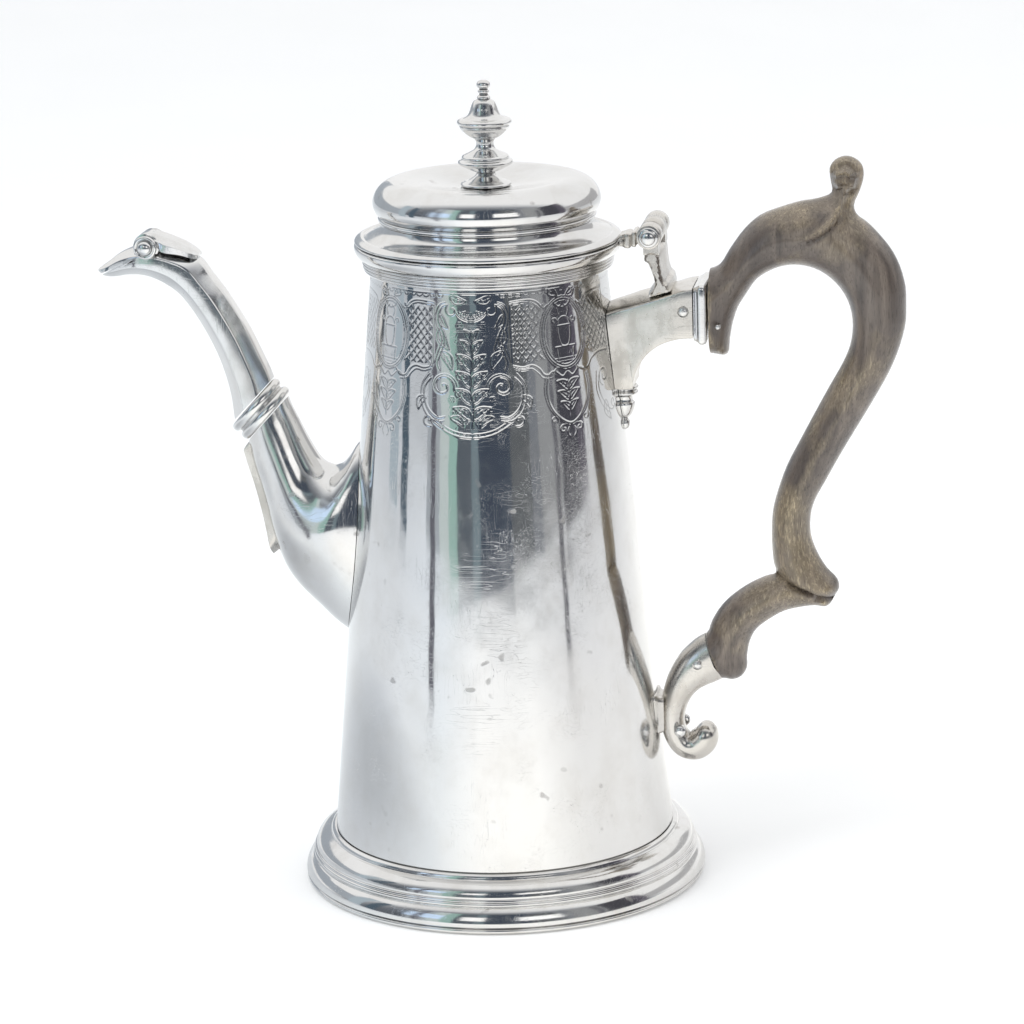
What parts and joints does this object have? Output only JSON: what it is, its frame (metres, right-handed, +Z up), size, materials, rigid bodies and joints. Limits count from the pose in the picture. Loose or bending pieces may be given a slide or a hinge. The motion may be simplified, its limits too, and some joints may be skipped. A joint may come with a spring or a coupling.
{
  "type": "coffee pot",
  "caption": "Tapered silver coffee pot with a hinged domed lid, turned finial, faceted swan-neck spout with a hinged flap, and a carved wood scroll handle.",
  "frame": {"origin": "centre of the bounding box at the bottom: on the table plane under the foot, half way between the tip of the spout and the back of the handle; the pot's own axis stands at X = -0.00235", "axes": "+Z up along the pot's axis, +X towards the wood handle, -X towards the spout; the lid hinge and the spout flap hinge both run along Y"},
  "size_m": [0.234, 0.1182, 0.2352],
  "materials": {
    "polished_silver": "hand-polished silver, fine wear scratches, light tarnish in the recesses",
    "engraved_silver": "polished silver raised by hand, engraved ornament below the rim, soft dents and scratches",
    "steel_pin": "worn pin ends filed flush",
    "wood": "dark carved hardwood, worn to golden brown on the edges, low sheen"
  },
  "bodies": {
    "pot": {"foot_wire": "polished_silver", "foot_moulding": "polished_silver", "base_plate": "polished_silver", "body_shell": "engraved_silver", "rim_moulding": "polished_silver", "reeded_band": "polished_silver", "spout_lower": "polished_silver", "spout_drop": "polished_silver", "spout_collar": "polished_silver", "spout_neck": "polished_silver", "spout_eye_near": "polished_silver", "spout_eye_far": "polished_silver", "spout_flap_pin": "polished_silver", "upper_socket": "polished_silver", "upper_socket_flange": "polished_silver", "upper_socket_drop": "polished_silver", "lower_socket": "polished_silver", "lower_socket_bead": "polished_silver", "lower_socket_stub": "polished_silver", "upper_pin": "polished_silver", "lower_pin": "polished_silver", "handle_dowel": "steel_pin", "hinge_bracket": "polished_silver", "hinge_pin": "polished_silver", "hinge_cap_near": "polished_silver", "hinge_cap_far": "polished_silver", "wood_handle": "wood"},
    "lid": {"lid_dome": "polished_silver", "lid_bead": "polished_silver", "lid_flange": "polished_silver", "lid_bezel": "polished_silver", "lid_lug": "polished_silver", "finial": "polished_silver", "finial_nut": "polished_silver"},
    "flap": {"spout_flap": "polished_silver"}
  },
  "joints": [
    {"name": "lid_hinge", "type": "hinge", "parent": "pot", "child": "lid", "pos_m": [0.04525, 0, 0.1921], "axis": [0, 1, 0], "range_deg": [0, 100]},
    {"name": "flap_hinge", "type": "hinge", "parent": "pot", "child": "flap", "pos_m": [-0.10155, 0, 0.1879], "axis": [0, -1, 0], "range_deg": [0, 80]}
  ]
}
